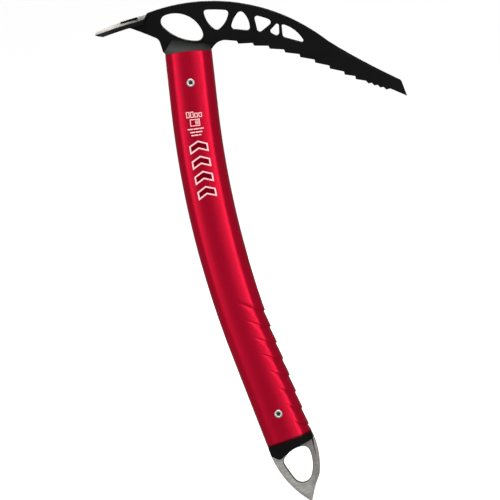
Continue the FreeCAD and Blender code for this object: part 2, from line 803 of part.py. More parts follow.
def spike_collar_parts():
    """The same for the spike collar, with its deep rear lobe."""
    spigot_end = size("spigot_length") + 1
    keep = belt(
        [
            (*foot.flat(half_depth, -JOINT_GAP), 0, 0),
            (*foot.flat(-half_depth, -JOINT_GAP), 0, 0),
            (1.5, -297.2, 3.8, 0),
            (4.7, -300.3, 3.0, 0),
            (18.8, -311.5, -14.1, 0),
            (27.9, -291.9, 2.1, 0),
        ]
    )
    frame = rectangle(-40, -330, 60, -270)
    half_tang = size("spike_tang_half_width") + size("slot_clearance")
    slit = belt(
        [
            (*foot.flat(SLIT_REACH, -SLIT_REACH), 0, 0),
            (*foot.flat(SLIT_REACH, 0.0), 0, 0),
            (*foot.flat(half_tang, 0.0), 0, 0),
            (*foot.flat(half_tang, spigot_end + 1), 0, 0),
            (*foot.flat(-half_tang, spigot_end + 1), 0, 0),
            (*foot.flat(-half_tang, 0.0), 0, 0),
            (*foot.flat(-SLIT_REACH, 0.0), 0, 0),
            (*foot.flat(-SLIT_REACH, -SLIT_REACH), 0, 0),
        ]
    )
    return {"frame": frame, "keep": keep}, slit


# --- Spike ---------------------------------------------------------------------------------

SPIKE_EYE = [(20.8, -302.6, 4.9, 18.0), (10.5, -306.3, 4.0, 80.0), (17.3, -315.7, 6.4, 26.0)]


def make_spike():
    body = new_body("spike")
    half_tang = size("spike_tang_half_width")
    corner = size("tang_corner_radius")
    tang_pin = size("spike_tang_length") - corner
    pins = [
        (19.9, -335.9, 0.3, -70.0),
        (21.0, -315.8, 8.3, 54.0),
        (*foot.flat(half_depth - 0.9, -1.0), 0.9, 0),
        (*foot.flat(half_tang, -0.1), 0, 0),
        (*foot.flat(half_tang - corner, tang_pin), corner, 0),
        (*foot.flat(corner - half_tang, tang_pin), corner, 0),
        (*foot.flat(-half_tang, -0.1), 0, 0),
        (*foot.flat(0.9 - half_depth, -1.0), 0.9, 64.0),
    ]
    sketch = new_sketch(body, "spike_outline", "XZ_Plane")
    draw(sketch, belt(pins), belt(SPIKE_EYE))
    draw_circle(sketch, *spike_rivet_at, "rivet_hole_radius")
    extrude(body, "Pad", "spike_blank", sketch, plate)
    doc.recompute()
    return body


# --- The axe -------------------------------------------------------------------------------

pieces = []
head_plate = make_head_plate()
adze = make_adze()
pieces += [head_plate, adze]
for side, label in ((-1, "adze_weld_front"), (1, "adze_weld_back")):
    pieces.append(make_weld(label, side, [head_plate.Shape, adze.Shape]))

pieces.append(make_collar("head_collar", head, 1, HEAD_COLLAR_RINGS, *head_collar_parts()))
pieces.append(make_shaft())
pieces.append(make_collar("spike_collar", foot, -1, SPIKE_COLLAR_RINGS, *spike_collar_parts()))
pieces.append(make_spike())

packer_start = size("spigot_length") + PACKER_GAP
for side, where in ((-1, "front"), (1, "back")):
    head_start = -packer_start - size("packer_length")
    pieces.append(make_packer("head_packer_" + where, head, head_start, side, head_rivet_at))
    pieces.append(make_packer("spike_packer_" + where, foot, packer_start, side, spike_rivet_at))
pieces.append(make_rivet("head_rivet", head_rivet_at))
pieces.append(make_rivet("spike_rivet", spike_rivet_at))

doc.recompute()
for item in doc.Objects:
    bad = [word for word in item.State if word in ("Invalid", "Error")]
    assert not bad, "%s failed: %s" % (item.Label, item.State)
os.makedirs("parts", exist_ok=True)
for piece in pieces:
    shape = piece.Shape
    assert not shape.isNull() and shape.isValid(), piece.Label
    assert shape.Volume > 0 and len(shape.Solids) >= 1, piece.Label
    shape.exportStep("parts/%s.step" % piece.Label)
    print("%-20s %2d solid(s) %10.1f mm3" % (piece.Label, len(shape.Solids), shape.Volume))
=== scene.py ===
import math

import bmesh
import bpy
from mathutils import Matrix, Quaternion, Vector


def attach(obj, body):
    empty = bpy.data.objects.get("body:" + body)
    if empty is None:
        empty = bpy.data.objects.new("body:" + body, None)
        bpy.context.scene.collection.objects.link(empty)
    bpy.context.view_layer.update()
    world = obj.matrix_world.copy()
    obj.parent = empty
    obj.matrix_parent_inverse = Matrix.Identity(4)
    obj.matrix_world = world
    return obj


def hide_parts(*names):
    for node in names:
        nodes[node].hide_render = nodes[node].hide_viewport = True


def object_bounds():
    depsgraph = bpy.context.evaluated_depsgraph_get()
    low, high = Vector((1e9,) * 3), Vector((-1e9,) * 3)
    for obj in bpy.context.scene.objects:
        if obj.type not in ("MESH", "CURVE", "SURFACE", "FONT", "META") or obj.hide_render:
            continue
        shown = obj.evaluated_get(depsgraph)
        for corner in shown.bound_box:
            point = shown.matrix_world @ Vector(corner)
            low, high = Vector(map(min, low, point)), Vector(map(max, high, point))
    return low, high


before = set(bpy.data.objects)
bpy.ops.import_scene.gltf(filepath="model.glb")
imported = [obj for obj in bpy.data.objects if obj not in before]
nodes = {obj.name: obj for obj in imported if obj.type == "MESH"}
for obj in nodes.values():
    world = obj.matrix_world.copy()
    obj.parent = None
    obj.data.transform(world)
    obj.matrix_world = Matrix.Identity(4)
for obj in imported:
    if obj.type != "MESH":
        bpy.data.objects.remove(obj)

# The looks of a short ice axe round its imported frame, in metres throughout: +X along the pick, +Z up,
# the plates in the XZ plane and their near faces towards -Y.

cad_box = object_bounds()
MM = 0.001
MICRON = 0.001 * MM
scene = bpy.context.scene


# --- Node materials ------------------------------------------------------------------------


class Finish:
    """A material with one Principled shader, and short calls for the nodes that feed it."""

    def __init__(self, name):
        self.material = bpy.data.materials.new(name)
        self.material.use_nodes = True
        self.tree = self.material.node_tree
        self.shader = self.tree.nodes["Principled BSDF"]
        self.place = self.tree.nodes.new("ShaderNodeTexCoord").outputs["Object"]

    def set(self, **values):
        """Values that are the same all over the surface."""
        for socket, value in values.items():
            self.shader.inputs[socket.replace("_", " ")].default_value = value
        return self

    def link(self, source, target):
        self.tree.links.new(source, target)

    def stretched(self, scale, turn=(0, 0, 0)):
        """Object coordinates, scaled differently along each axis and then turned."""
        mapping = self.tree.nodes.new("ShaderNodeMapping")
        mapping.inputs["Scale"].default_value = scale
        mapping.inputs["Rotation"].default_value = turn
        self.link(self.place, mapping.inputs["Vector"])
        return mapping.outputs["Vector"]

    def noise(self, per_metre, detail=4.0, roughness=0.5, place=None):
        """Noise from 0 to 1 with about this many clouds to the metre."""
        texture = self.tree.nodes.new("ShaderNodeTexNoise")
        texture.inputs["Scale"].default_value = per_metre
        texture.inputs["Detail"].default_value = detail
        texture.inputs["Roughness"].default_value = roughness
        self.link(place or self.place, texture.inputs["Vector"])
        return texture.outputs["Fac"]

    def reach(self, scale):
        """Distance from the object's origin, with some axes left out by a scale of 0."""
        node = self.tree.nodes.new("ShaderNodeVectorMath")
        node.operation = "LENGTH"
        self.link(self.stretched(scale), node.inputs[0])
        return node.outputs["Value"]

    def along(self, way, start, end):
        """0 to 1 between two distances from the object's origin along a direction."""
        node = self.tree.nodes.new("ShaderNodeVectorMath")
        node.operation = "DOT_PRODUCT"
        node.inputs[1].default_value = way
        self.link(self.place, node.inputs[0])
        return self.remap(node.outputs["Value"], start, end, 0.0, 1.0)

    def remap(self, value, low, high, to_low, to_high):
        """A value between low and high, moved to between two others and kept there."""
        node = self.tree.nodes.new("ShaderNodeMapRange")
        node.inputs["From Min"].default_value = low
        node.inputs["From Max"].default_value = high
        node.inputs["To Min"].default_value = to_low
        node.inputs["To Max"].default_value = to_high
        self.link(value, node.inputs["Value"])
        return node.outputs["Result"]

    def spread(self, noise, to_low, to_high):
        """A noise's usual range, moved to between two values."""
        return self.remap(noise, 0.3, 0.7, to_low, to_high)

    def maths(self, operation, first, second):
        node = self.tree.nodes.new("ShaderNodeMath")
        node.operation = operation
        for socket, value in zip(node.inputs, (first, second)):
            if isinstance(value, (int, float)):
                socket.default_value = value
            else:
                self.link(value, socket)
        return node.outputs["Value"]

    def blend(self, factor, first, second):
        """A colour that goes from the first to the second as the factor goes from 0 to 1."""
        node = self.tree.nodes.new("ShaderNodeMix")
        node.data_type = "RGBA"
        self.link(factor, node.inputs["Factor"])
        for name, value in (("A", first), ("B", second)):
            socket = [s for s in node.inputs if s.name == name and s.type == "RGBA"][0]
            if isinstance(value, tuple):
                socket.default_value = (*value, 1.0)
            else:
                self.link(value, socket)
        return [s for s in node.outputs if s.type == "RGBA"][0]

    def colour(self, source):
        self.link(source, self.shader.inputs["Base Color"])

    def roughness(self, source):
        self.link(source, self.shader.inputs["Roughness"])

    def bump(self, *layers):
        """Each layer is a height source and its height in metres."""
        normal = None
        for height, metres in layers:
            node = self.tree.nodes.new("ShaderNodeBump")
            node.inputs["Strength"].default_value = 1.0
            node.inputs["Distance"].default_value = metres
            self.link(height, node.inputs["Height"])
            if normal is not None:
                self.link(normal, node.inputs["Normal"])
            normal = node.outputs["Normal"]
        self.link(normal, self.shader.inputs["Normal"])


# Colours as linear red, green and blue, in pairs of dark and light where they cloud
COAT = ((0.0018, 0.0017, 0.0018), (0.0034, 0.0032, 0.0034))
COAT_RUBBED = (0.014, 0.014, 0.015)
WELD = ((0.004, 0.004, 0.004), (0.010, 0.0095, 0.0095))
RED_DYE = ((0.52, 0.0005, 0.022), (0.58, 0.0010, 0.029))
RED_SCUFFED = (0.62, 0.05, 0.08)
# painted shade: dark red on the tube's bottom rim, next to the spike's collar
RED_RIM_PAINTED_SHADE = (0.075, 0.0, 0.004)
HEAD_GREY = ((0.030, 0.033, 0.030), (0.044, 0.048, 0.044))
SPIKE_BLACK = ((0.0018, 0.0018, 0.0017), (0.0040, 0.0040, 0.0038))
PACKER_GREY = ((0.20, 0.20, 0.19), (0.28, 0.28, 0.27))
STEEL = ((0.46, 0.45, 0.42), (0.72, 0.71, 0.67))
STEEL_STREAK = (0.33, 0.32, 0.295)
STEEL_PIT = (0.22, 0.21, 0.19)
# darker steel towards the spike's front edge
STEEL_DARKER = (0.21, 0.205, 0.195)
CUT_WALL = ((0.010, 0.009, 0.008), (0.03, 0.028, 0.025))
PLATING = ((0.82, 0.79, 0.74), (0.97, 0.94, 0.89))
# painted shade: the dark inside a rivet's dimple
DIMPLE_PAINTED_SHADE = (0.10, 0.095, 0.085)
PALE_PRINT = ((0.66, 0.34, 0.35), (0.82, 0.48, 0.48))
DARK_PRINT = ((0.090, 0.0001, 0.003), (0.130, 0.0002, 0.005))
FLOOR_WHITE = (0.96, 0.96, 0.96)

# How much rougher a coat is where it is duller, and the share of its grey that moulded plastic keeps in
# painted shade
DULLER_BY = 0.16
PAINTED_SHADE_SHARE = 0.12

# Each of these is a direction, and the distances from the origin along it where a change starts and
# ends. Along the adze to its root
ADZE_DULLER = ((1.0, 0.0, 0.0), -46.0 * MM, -26.0 * MM)
# Painted shade on the head's collar: darker towards its top and front end next to the plate, full grey
# down and away from its front end
HEAD_PAINTED_SHADE = ((-0.3, 0.0, -1.0), 9.5 * MM, 16.5 * MM)
# Across the spike to its front edge, where its steel is darker
SPIKE_DARKER_FRONT = ((1.0, 0.0, 0.16), -32.5 * MM, -23.0 * MM)
# How far from a rivet's middle its dimple has painted shade, and where the bright rim starts
DIMPLE_SHADE_FULL_TO = 1.15 * MM
DIMPLE_SHADE_GONE_AT = 1.45 * MM


def coated_steel(name, level, rough, duller=None):
    """Fine black powder coat, worn a little by rubbing, with less gloss where duller says."""
    finish = Finish(name).set(Metallic=0.0, Specular_IOR_Level=level)
    grain = finish.noise(2600, detail=3)
    cloud = finish.noise(60)
    rub = finish.remap(finish.noise(420, detail=6, roughness=0.7), 0.60, 0.74, 0.0, 0.25)
    finish.colour(finish.blend(rub, finish.blend(cloud, *COAT), COAT_RUBBED))
    gloss = finish.spread(cloud, rough - 0.05, rough + 0.05)
    if duller:
        added = finish.maths("MULTIPLY", finish.along(*duller), DULLER_BY)
        gloss = finish.maths("ADD", gloss, added)
    finish.roughness(gloss)
    finish.bump((grain, 12 * MICRON), (cloud, 30 * MICRON))
    return finish.material


def weld_metal():
    """Coated weld bead, uneven and grainy."""
    finish = Finish("coated_bead").set(Metallic=0.0, Specular_IOR_Level=0.3)
    cloud = finish.noise(500)
    finish.colour(finish.blend(cloud, *WELD))
    finish.roughness(finish.spread(cloud, 0.35, 0.55))
    finish.bump((finish.noise(3000, detail=3), 20 * MICRON))
    return finish.material


def red_anodised(rim_shade):
    """Satin red anodising on a drawn tube: faint drawing lines along it, and light handling marks.

    A direction and two distances say where painted shade on the bottom rim goes over to its full red.
    """
    finish = Finish("red_anodised").set(Metallic=0.78, Specular_IOR_Level=0.4)
    drawn = finish.stretched((1.0, 1.0, 0.03), (0, math.radians(4), 0))
    lines = finish.noise(2200, roughness=0.6, place=drawn)
    cloud = finish.noise(38, detail=3)
    handled = finish.stretched((1.0, 1.0, 0.2), (0, math.radians(50), 0))
    marks = finish.noise(900, detail=5, roughness=0.7, place=handled)
    scuffs = finish.remap(marks, 0.66, 0.78, 0.0, 1.0)
    base = finish.blend(cloud, *RED_DYE)
    scuffed = finish.blend(finish.maths("MULTIPLY", scuffs, 0.15), base, RED_SCUFFED)
    # painted shade: dark red at the bottom rim, going over to the scuffed red
    finish.colour(finish.blend(finish.along(*rim_shade), RED_RIM_PAINTED_SHADE, scuffed))
    rough = finish.spread(lines, 0.27, 0.33)
    finish.roughness(finish.maths("ADD", rough, finish.maths("MULTIPLY", scuffs, 0.1)))
    finish.bump((lines, 2.5 * MICRON), (finish.noise(5200, detail=2), 1.6 * MICRON))
    return finish.material


def moulded(name, grey, level, rough, painted_shade=None):
    """Moulded plastic with a fine sparked texture and a few flow clouds.

    A direction and two distances, if given, say where it goes from dark painted shade to its own grey.
    """
    finish = Finish(name).set(Metallic=0.0, Specular_IOR_Level=level)
    cloud = finish.noise(120)
    spark = finish.noise(3600, detail=2)
    clouded = finish.blend(cloud, *grey)
    if painted_shade:
        # painted shade: the dark grey that the collar shows towards its top and front end
        painted_shade_dark = tuple(PAINTED_SHADE_SHARE * part for part in grey[0])
        clouded = finish.blend(finish.along(*painted_shade), painted_shade_dark, clouded)
    finish.colour(clouded)
    finish.roughness(finish.spread(spark, rough - 0.06, rough + 0.08))
    finish.bump((spark, 20 * MICRON), (cloud, 20 * MICRON))
    return finish.material


def satin_stainless():
    """Blasted and tumbled stainless plate, with fine scratches across it and small pits."""
    finish = Finish("satin_stainless").set(Metallic=0.8)
    scratched = finish.stretched((0.10, 1.0, 1.0), (0, math.radians(-38), 0))
    fine = finish.noise(2600, roughness=0.6, place=scratched)
    streaked = finish.stretched((0.15, 1.0, 1.0), (0, math.radians(-52), 0))
    coarse = finish.noise(900, detail=3, roughness=0.6, place=streaked)
    cloud = finish.noise(110, detail=5)
    pits = finish.remap(finish.noise(1500, detail=2), 0.58, 0.70, 0.0, 0.6)
    streaks = finish.remap(coarse, 0.40, 0.60, 0.0, 0.6)
    # the steel is darker across the spike towards its front edge
    darker_front = finish.maths("MULTIPLY", finish.along(*SPIKE_DARKER_FRONT), 0.65)
    steel = finish.blend(streaks, finish.blend(cloud, *STEEL), STEEL_STREAK)
    finish.colour(finish.blend(darker_front, finish.blend(pits, steel, STEEL_PIT), STEEL_DARKER))
    finish.roughness(finish.spread(fine, 0.36, 0.56))
    finish.bump((fine, 30 * MICRON), (coarse, 40 * MICRON), (cloud, 30 * MICRON))
    return finish.material


def cut_stainless():
    """The dark, dragged wall that cutting leaves in an eye."""
    finish = Finish("cut_stainless").set(Metallic=0.0, Specular_IOR_Level=0.2)
    drag = finish.noise(1800, detail=3, roughness=0.6, place=finish.stretched((1.0, 0.08, 1.0)))
    finish.colour(finish.blend(drag, *CUT_WALL))
    finish.roughness(finish.spread(drag, 0.5, 0.7))
    finish.bump((drag, 40 * MICRON))
    return finish.material


def plated_rivet():
    """Bright plated steel, a little dulled in patches, with painted shade inside the dimple."""
    finish = Finish("plated_steel").set(Metallic=1.0)
    cloud = finish.noise(900)
    from_middle = finish.reach((1.0, 0.0, 1.0))
    out_of_dimple_shade = finish.remap(from_middle, DIMPLE_SHADE_FULL_TO, DIMPLE_SHADE_GONE_AT, 0.0, 1.0)
    # painted shade in the dimple, plating outside it
    finish.colour(finish.blend(out_of_dimple_shade, DIMPLE_PAINTED_SHADE, finish.blend(cloud, *PLATING)))
    finish.roughness(finish.spread(cloud, 0.26, 0.40))
    finish.bump((cloud, 20 * MICRON))
    return finish.material


def printed_ink(name, ink, rough, level):
    """Screen print: slightly uneven cover."""
    finish = Finish(name).set(Metallic=0.0, Specular_IOR_Level=level)
    cover = finish.noise(2400, detail=3)
    finish.colour(finish.blend(finish.remap(cover, 0.35, 0.65, 0.0, 1.0), *ink))
    finish.roughness(finish.spread(cover, rough, rough + 0.1))
    finish.bump((cover, 4 * MICRON))
    return finish.material


BLACK_COAT = coated_steel("black_coat", level=0.10, rough=0.45)
ADZE_COAT = coated_steel("adze_black_coat", level=0.08, rough=0.22, duller=ADZE_DULLER)
BEAD = weld_metal()
# the head's collar gets painted shade towards its top and front end
HEAD_PLASTIC = moulded("dark_grey_plastic", HEAD_GREY, level=0.06, rough=0.50, painted_shade=HEAD_PAINTED_SHADE)
SPIKE_PLASTIC = moulded("black_plastic", SPIKE_BLACK, level=0.12, rough=0.46)
PACKER_PLASTIC = moulded("packer_plastic", PACKER_GREY, level=0.4, rough=0.55)
STAINLESS = satin_stainless()
CUT_STAINLESS = cut_stainless()
PLATED = plated_rivet()
PALE_INK = printed_ink("pale_ink", PALE_PRINT, rough=0.5, level=0.08)
DARK_INK = printed_ink("dark_ink", DARK_PRINT, rough=0.6, level=0.0)


# --- Mesh helpers --------------------------------------------------------------------------


WELD_DISTANCE = 0.001 * MM
FLAT_WITHIN = math.radians(0.4)


def add_piece(name, mesh, material, slot, *stands_for):
    """An object of the axe that rides on its one body."""
    piece = bpy.data.objects.new(name, mesh)
    scene.collection.objects.link(piece)
    mesh.materials.clear()
    mesh.materials.append(material)
    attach(piece, "root")
    if stands_for:
        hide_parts(*stands_for)
    return piece


def finish_mesh(name, work, crease_degrees):
    """The bmesh as a smooth-shaded mesh that keeps its creases."""
    mesh = bpy.data.meshes.new(name)
    bmesh.ops.recalc_face_normals(work, faces=work.faces)
    work.to_mesh(mesh)
    work.free()
    if "custom_normal" in mesh.attributes:
        mesh.attributes.remove(mesh.attributes["custom_normal"])
    mesh.shade_smooth()
    mesh.set_sharp_from_angle(angle=math.radians(crease_degrees))
    return mesh


def join_rings(work, rings, closed):
    """Four-sided faces between each ring of vertices and the next, and back to the first if closed."""
    following_rings = rings[1:] + (rings[:1] if closed else [])
    for ring, following in zip(rings, following_rings):
        for index in range(len(ring)):
            after = (index + 1) % len(ring)
            work.faces.new((ring[index], ring[after], following[after], following[index]))


def node_mesh(node):
    """A node's mesh as a welded bmesh, its flat faces made whole again."""
    work = bmesh.new()
    work.from_mesh(nodes[node].data)
    bmesh.ops.remove_doubles(work, verts=work.verts, dist=WELD_DISTANCE)
    bmesh.ops.dissolve_limit(
        work, angle_limit=FLAT_WITHIN, verts=work.verts, edges=work.edges, delimit={"NORMAL"}
    )
    return work


def soften(work, width, degrees, chosen=None):
    """Rounds the edges that turn by more than this angle, or only the chosen ones of them."""
    edges = [
        edge
        for edge in work.edges
        if len(edge.link_faces) == 2
        and edge.calc_face_angle(0.0) > math.radians(degrees)
        and (chosen is None or chosen(edge))
    ]
    bmesh.ops.bevel(
        work, geom=edges, offset=width, offset_type="OFFSET", segments=2, profile=0.6,
        affect="EDGES", clamp_overlap=True,
    )


def keep_flat(piece):
    """Large flat faces keep their own normals next to rounded edges."""
    modifier = piece.modifiers.new("flat_faces", "WEIGHTED_NORMAL")
    modifier.keep_sharp = True
    modifier.weight = 80


def softened_node(node, name, material, slot, width, degrees):
    """A copy of a node with rounded edges, which stands for it."""
    work = node_mesh(node)
    soften(work, width, degrees)
    keep_flat(add_piece(name, finish_mesh(name, work, crease_degrees=50), material, slot, node))


# --- Camera --------------------------------------------------------------------------------

CAMERA_AZIMUTH = 4.5
CAMERA_ELEVATION = 6.5
CAMERA_ROLL = math.radians(12.02)
CAMERA_DISTANCE = 12.0
SENSOR_WIDTH = 36.0
VIEW_WIDTH = 340.2 * MM
TARGET = Vector((14.0 * MM, 0.0, -159.0 * MM))


def direction(azimuth, elevation):
    """The way to a place in degrees round from -Y, towards +X, and up."""
    turn = math.radians(azimuth)
    lift = math.radians(elevation)
    return Vector((math.sin(turn) * math.cos(lift), -math.cos(turn) * math.cos(lift), math.sin(lift)))


def make_camera():
    """A long lens that takes in the view's width at the middle of the axe."""
    towards = direction(CAMERA_AZIMUTH, CAMERA_ELEVATION)
    data = bpy.data.cameras.new("camera")
    data.sensor_width = SENSOR_WIDTH
    data.lens = SENSOR_WIDTH * CAMERA_DISTANCE / VIEW_WIDTH
    data.clip_end = 200.0
    camera = bpy.data.objects.new("camera", data)
    scene.collection.objects.link(camera)
    camera.rotation_mode = "QUATERNION"
    level = (-towards).to_track_quat("-Z", "Y")
    camera.rotation_quaternion = level @ Quaternion((0, 0, 1), -CAMERA_ROLL)
    camera.location = TARGET + towards * CAMERA_DISTANCE
    scene.camera = camera


make_camera()


# --- Shaft ---------------------------------------------------------------------------------

SHAFT_DEPTH = 32.1 * MM
SHAFT_THICKNESS = 20.0 * MM
SHAFT_NOSE_RADIUS = 9.0 * MM
SHAFT_WALL = 1.7 * MM
BEND_RADIUS = 650.0 * MM
BEND_X = -5.85 * MM
BEND_Z = -119.0 * MM
LEAN_TOP = math.radians(5.65)
LEAN_BOTTOM = math.radians(9.3)
SHAFT_TOP_Z = -16.1 * MM
SHAFT_BOTTOM_Z = -291.6 * MM
HALF_DEPTH = SHAFT_DEPTH / 2
HALF_THICKNESS = SHAFT_THICKNESS / 2

# The section's two small noses, and the two wide crowns that meet them smoothly
NOSE = HALF_DEPTH - SHAFT_NOSE_RADIUS
CROWN_RADIUS = (
    (NOSE**2 + HALF_THICKNESS**2 - SHAFT_NOSE_RADIUS**2) / (2 * (HALF_THICKNESS - SHAFT_NOSE_RADIUS))
)
CROWN_STEPS = 24
NOSE_STEPS = 22

# The top rim arches across the shaft, and the rows below it turn into that arch over a height
RIM_ARCH_RADIUS = 75.0 * MM
RIM_ARCH_HEIGHT = 30.0 * MM
RIM_ROUND = 0.25 * MM
RIM_SHOULDER = 0.3 * RIM_ROUND
# Heights above the bottom cut between which the painted shade on the bottom rim, next to the spike's
# collar, turns to full red
RIM_SHADE_HEIGHTS = (0.9 * MM, 1.9 * MM)

# Eight grip steps on slanting lines, each measured where it crosses the shaft's centre line
GRIP_COUNT = 8
GRIP_PITCH = 12.0 * MM
GRIP_SLOPE = math.tan(math.radians(38.0))
GRIP_FIRST_LINE = 5.4 * MM + HALF_DEPTH * GRIP_SLOPE
GRIP_TOP_LINE = GRIP_FIRST_LINE + (GRIP_COUNT - 1) * GRIP_PITCH
# How far a step reaches in from the front edge, at the top grip and at the bottom one
GRIP_REACH_TOP = 17.0 * MM
GRIP_REACH_BOTTOM = 8.6 * MM
# Its inner end runs out on a curve to this far from the front edge, and fades in across that curve
GRIP_END_AT_FRONT = 3.0 * MM
GRIP_END_CURVE = 0.6
GRIP_END_BEFORE = 1.0 * MM
GRIP_END_AFTER = 4.5 * MM
GRIP_FRONT_DEPTH = 0.95 * MM
GRIP_SIDE_DEPTH = 0.24 * MM
GRIP_STEP_WIDTH = 0.5 * MM
GRIP_FACE_FADE = 2.4
GRIP_FRONT_FADE = 1.2
# Above the top grip line the rows of the skin turn level again over a length
ROWS_SLANT_BEYOND = 4.0 * MM
ROWS_TURN_LEVEL = 60.0 * MM

# Rows of the skin: below each grip line in millimetres, from there to the bottom, and up to the top
ROWS_BELOW_LINE = (0.0, 0.12, 0.28, 0.42, 0.58, 0.8, 1.2, 1.8, 2.8, 4.0, 5.5, 7.0, 8.5, 10.0, 11.2)
ROWS_AT_BOTTOM = 4
ROWS_ABOVE_GRIPS = 56
TOP_ROW_BELOW_RIM = 0.4 * MM
# Rows of the bore, as shares of the shaft's length
BORE_ROWS = (0.75, 0.5, 0.3, 0.15)


class CentreLine:
    """The shaft's bent centre line, by height above its bottom cut."""

    def __init__(self):
        self.upper = self.bend_point(LEAN_TOP)
        self.lower = self.bend_point(-LEAN_BOTTOM)
        self.bottom_run = (self.lower.z - SHAFT_BOTTOM_Z) / math.cos(LEAN_BOTTOM)
        self.bend_run = BEND_RADIUS * (LEAN_TOP + LEAN_BOTTOM)
        self.top_run = (SHAFT_TOP_Z - self.upper.z) / math.cos(LEAN_TOP)
        self.length = self.bottom_run + self.bend_run + self.top_run

    @staticmethod
    def bend_point(lean):
        x = BEND_X + BEND_RADIUS * (1 - math.cos(lean))
        return Vector((x, 0, BEND_Z + BEND_RADIUS * math.sin(lean)))

    def at(self, height):
        """The point there, with the directions across the shaft, to the front, and up it."""
        if height < self.bottom_run:
            lean = -LEAN_BOTTOM
            start, beyond = self.lower, height - self.bottom_run
        elif height < self.bottom_run + self.bend_run:
            lean = (height - self.bottom_run) / BEND_RADIUS - LEAN_BOTTOM
            start, beyond = self.bend_point(lean), 0.0
        else:
            lean = LEAN_TOP
            start, beyond = self.upper, height - self.bottom_run - self.bend_run
        up = Vector((math.sin(lean), 0, math.cos(lean)))
        across = Vector((math.cos(lean), 0, -math.sin(lean)))
        return start + up * beyond, across, up


CENTRE = CentreLine()


def oval():
    """The tube's section as (across, y, normal across, normal y), anticlockwise from its front nose."""
    tip = math.atan2(NOSE, CROWN_RADIUS - HALF_THICKNESS)
    points = []

    def sweep(x, y, radius, start, end, steps):
        for step in range(steps):
            angle = start + (end - start) * step / steps
            normal = (math.cos(angle), math.sin(angle))
            points.append((x + radius * normal[0], y + radius * normal[1], *normal))

    quarter = math.pi / 2
    lift = HALF_THICKNESS - CROWN_RADIUS
    sweep(NOSE, 0, SHAFT_NOSE_RADIUS, tip - quarter, quarter - tip, NOSE_STEPS)
    sweep(0, lift, CROWN_RADIUS, quarter - tip, quarter + tip, CROWN_STEPS)
    sweep(-NOSE, 0, SHAFT_NOSE_RADIUS, quarter + tip, 3 * quarter - tip, NOSE_STEPS)
    sweep(0, -lift, CROWN_RADIUS, 3 * quarter - tip, 3 * quarter + tip, CROWN_STEPS)
    return points


def smooth_step(low, high, value):
    share = min(1.0, max(0.0, (value - low) / (high - low)))
    return share * share * (3 - 2 * share)


def grip_shear(level):
    """1 where rows of the skin follow the slanting grip lines, 0 at both ends of the shaft."""
    top = GRIP_TOP_LINE + ROWS_SLANT_BEYOND
    if level < GRIP_FIRST_LINE:
        return level / GRIP_FIRST_LINE
    return 1.0 - smooth_step(top, top + ROWS_TURN_LEVEL, level)


def press_depth(level, across, normal_x):
    """How far the press has moved the skin in: deepest along a grip line, gone at the next one below."""
    index = int((GRIP_TOP_LINE - level) // GRIP_PITCH)
    if not 0 <= index < GRIP_COUNT:
        return 0.0
    below = GRIP_TOP_LINE - index * GRIP_PITCH - level
    share = index / (GRIP_COUNT - 1)
    reach = GRIP_REACH_TOP * (1 - share) + GRIP_REACH_BOTTOM * share
    inner = HALF_DEPTH - reach
    front = HALF_DEPTH - GRIP_END_AT_FRONT
    tail = below / GRIP_PITCH
    edge = inner + (front - inner) * tail**GRIP_END_CURVE
    side = smooth_step(edge - GRIP_END_BEFORE, edge + GRIP_END_AFTER, across)
    step = smooth_step(0, GRIP_STEP_WIDTH, below)
    on_face = GRIP_SIDE_DEPTH * (1 - tail) ** GRIP_FACE_FADE
    at_front = GRIP_FRONT_DEPTH * (1 - tail) ** GRIP_FRONT_FADE
    round_nose = max(0.0, normal_x) ** 2
    return (on_face + (at_front - on_face) * round_nose) * side * step


def rim_rise(level, across):
    """What the arched top rim adds to a row's height: nothing in the shaft's middle, less beside it."""
    arch = math.sqrt(RIM_ARCH_RADIUS**2 - across**2) - RIM_ARCH_RADIUS
    return arch * smooth_step(CENTRE.length - RIM_ARCH_HEIGHT, CENTRE.length, level)


def skin_point(level, point, inset):
    """A section point on the shaft at this level, moved in by an inset."""
    across, y, normal_x, normal_y = point
    height = level - grip_shear(level) * GRIP_SLOPE * across
    height += rim_rise(level, across)
    pressed = inset + press_depth(level, across, normal_x)
    origin, front, _ = CENTRE.at(height)
    return origin + front * (across - normal_x * pressed) + Vector((0, y - normal_y * pressed, 0))


def bore_point(level, point, inset):
    """The same on the bore, where the sections aren't slanted or pressed."""
    across, y, normal_x, normal_y = point
    origin, front, _ = CENTRE.at(level + rim_rise(level, across))
    return origin + front * (across - normal_x * inset) + Vector((0, y - normal_y * inset, 0))


def skin_levels():
    """Levels of the skin's rows: close together under each grip line, wide apart elsewhere."""
    rows = []
    for index in range(GRIP_COUNT):
        line = GRIP_TOP_LINE - index * GRIP_PITCH
        rows += [line - row * MM for row in ROWS_BELOW_LINE]
    bottom = GRIP_TOP_LINE - GRIP_COUNT * GRIP_PITCH
    rows += [bottom * step / ROWS_AT_BOTTOM for step in range(1, ROWS_AT_BOTTOM + 1)]
    plain = CENTRE.length - TOP_ROW_BELOW_RIM - GRIP_TOP_LINE
    rows += [GRIP_TOP_LINE + plain * step / ROWS_ABOVE_GRIPS for step in range(1, ROWS_ABOVE_GRIPS + 1)]
    return sorted(rows)


def make_rim_shade():
    """The direction of the painted shade on the bottom rim, and where its change starts and ends."""
    origin, _, up = CENTRE.at(0.0)
    return up, *(origin.dot(up) + height for height in RIM_SHADE_HEIGHTS)


